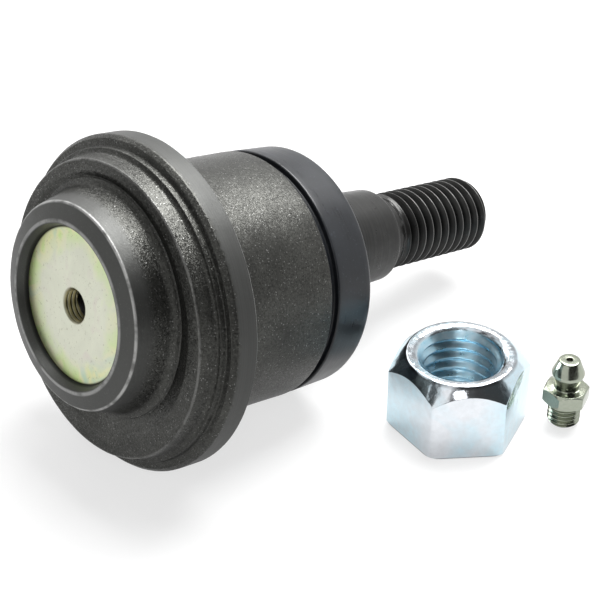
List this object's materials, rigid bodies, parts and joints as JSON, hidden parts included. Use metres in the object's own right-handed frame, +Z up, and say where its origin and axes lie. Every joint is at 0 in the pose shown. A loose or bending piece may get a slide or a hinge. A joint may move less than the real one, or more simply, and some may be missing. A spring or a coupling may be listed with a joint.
{
  "type": "suspension ball joint",
  "caption": "Press-in suspension ball joint with an offset socket, a flanged barrel, a rubber boot and a threaded stud, with its nut and grease fitting beside it.",
  "frame": {"origin": "on the floor, under the middle of the whole set as it lies, joint, nut and fitting together", "axes": "+Z up from the floor, +X along the joint's length in plan, from the cover plate towards the stud; +Y across, away from the nut"},
  "size_m": [0.1074, 0.0865, 0.0616],
  "materials": {
    "forged_housing": "dark grainy phosphated forging, smooth where it is machined",
    "yellow_zinc": "yellow-green zinc plating",
    "spring_steel": "bright spring steel",
    "bearing_steel": "oiled sintered steel",
    "stud_black": "black oxide, satin",
    "boot_rubber": "satin black rubber",
    "blue_zinc": "bright blue-white zinc plating",
    "clear_zinc": "pale yellow zinc plating"
  },
  "bodies": {
    "housing": {"housing": "forged_housing", "cover_plate": "yellow_zinc", "preload_spring": "spring_steel", "lower_bearing": "bearing_steel", "upper_bearing": "bearing_steel", "boot_insert_ring": "spring_steel", "boot_base": "boot_rubber"},
    "boot_fold": {"boot_bellows": "boot_rubber"},
    "boot_lip": {"boot_lip": "boot_rubber", "boot_garter_spring": "spring_steel"},
    "stud": {"ball_stud": "stud_black"},
    "nut": {"hex_nut": "blue_zinc"},
    "fitting": {"grease_fitting_body": "clear_zinc", "grease_fitting_spring": "spring_steel"},
    "check_ball": {"grease_fitting_ball": "spring_steel"}
  },
  "joints": [
    {"name": "stud_pitch", "type": "hinge", "parent": "housing", "child": "boot_fold", "pos_m": [-0.02289, 0.01305, 0.0298], "axis": [0, -1, 0], "range_deg": [-12, 12], "deforming": ["boot_bellows"]},
    {"name": "stud_yaw", "type": "hinge", "parent": "boot_fold", "child": "boot_lip", "pos_m": [-0.02289, 0.01305, 0.0298], "axis": [0.2121, 0, 0.9772], "range_deg": [-12, 12]},
    {"name": "stud_spin", "type": "hinge", "parent": "boot_lip", "child": "stud", "pos_m": [-0.02289, 0.01305, 0.0298], "axis": [0.9772, 0, -0.2121], "continuous": true},
    {"name": "nut_lift", "type": "slide", "parent": "housing", "child": "nut", "axis": [0, 0, 1], "range_m": [0, 0.06]},
    {"name": "fitting_lift", "type": "slide", "parent": "housing", "child": "fitting", "axis": [0, 0, 1], "range_m": [0, 0.05]},
    {"name": "check_ball_travel", "type": "slide", "parent": "fitting", "child": "check_ball", "axis": [0, 0, -1], "range_m": [0, 0.0008], "stiffness_N_per_m": 400, "springref_m": -0.0015, "deforming": ["grease_fitting_spring"]}
  ]
}
